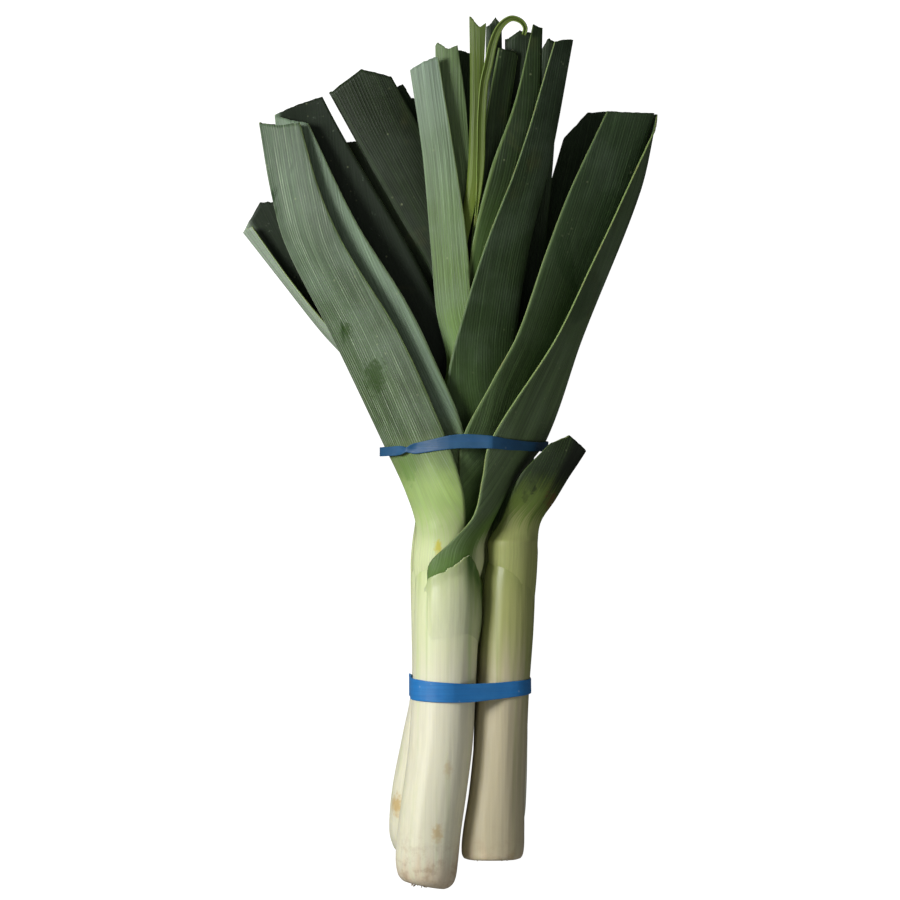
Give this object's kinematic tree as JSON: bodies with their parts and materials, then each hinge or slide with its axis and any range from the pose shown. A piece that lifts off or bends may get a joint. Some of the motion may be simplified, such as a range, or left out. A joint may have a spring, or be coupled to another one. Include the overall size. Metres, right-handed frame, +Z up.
{
  "type": "leek bunch",
  "caption": "Bunch of fresh trimmed leeks with long green tops, held by two blue rubber bands and lying on its side.",
  "frame": {"origin": "centre of the bounding box's base, on the table under the bunch", "axes": "+Y from the root ends to the leaf tips, +Z up from the table, +X to the right seen from above with the leaf tips up"},
  "size_m": [0.2344, 0.4866, 0.0758],
  "materials": {
    "shank": "satin",
    "leaf_outer": "satin",
    "leaf_dark": "satin",
    "leaf_pale": "satin",
    "leaf_heart": "satin",
    "band_blue": "matte"
  },
  "bodies": {
    "root": {"shank_front_left": "shank", "shank_front_right": "shank", "shank_rear_left": "shank", "shank_rear_right": "shank", "leaf_right_outer": "leaf_outer", "leaf_left_outer": "leaf_outer", "leaf_right_inner": "leaf_outer", "leaf_left_inner": "leaf_outer", "leaf_middle_right": "leaf_dark", "leaf_middle_left": "leaf_pale", "leaf_heart_edge": "leaf_heart", "leaf_heart_right": "leaf_heart", "leaf_heart_tall": "leaf_heart", "leaf_heart_left": "leaf_pale", "leaf_heart_curl": "leaf_heart", "leaf_centre_wide": "leaf_dark", "leaf_centre_left": "leaf_dark", "leaf_left_low": "leaf_outer", "leaf_rear_middle": "leaf_dark", "leaf_centre_low": "leaf_dark", "leaf_centre_pointed": "leaf_dark", "leaf_rear_top": "leaf_dark", "leaf_rear_olive": "leaf_dark", "leaf_right_low": "leaf_dark", "stump_outer": "leaf_outer", "stump_inner": "leaf_outer", "band_lower": "band_blue", "band_upper": "band_blue"}
  },
  "joints": []
}
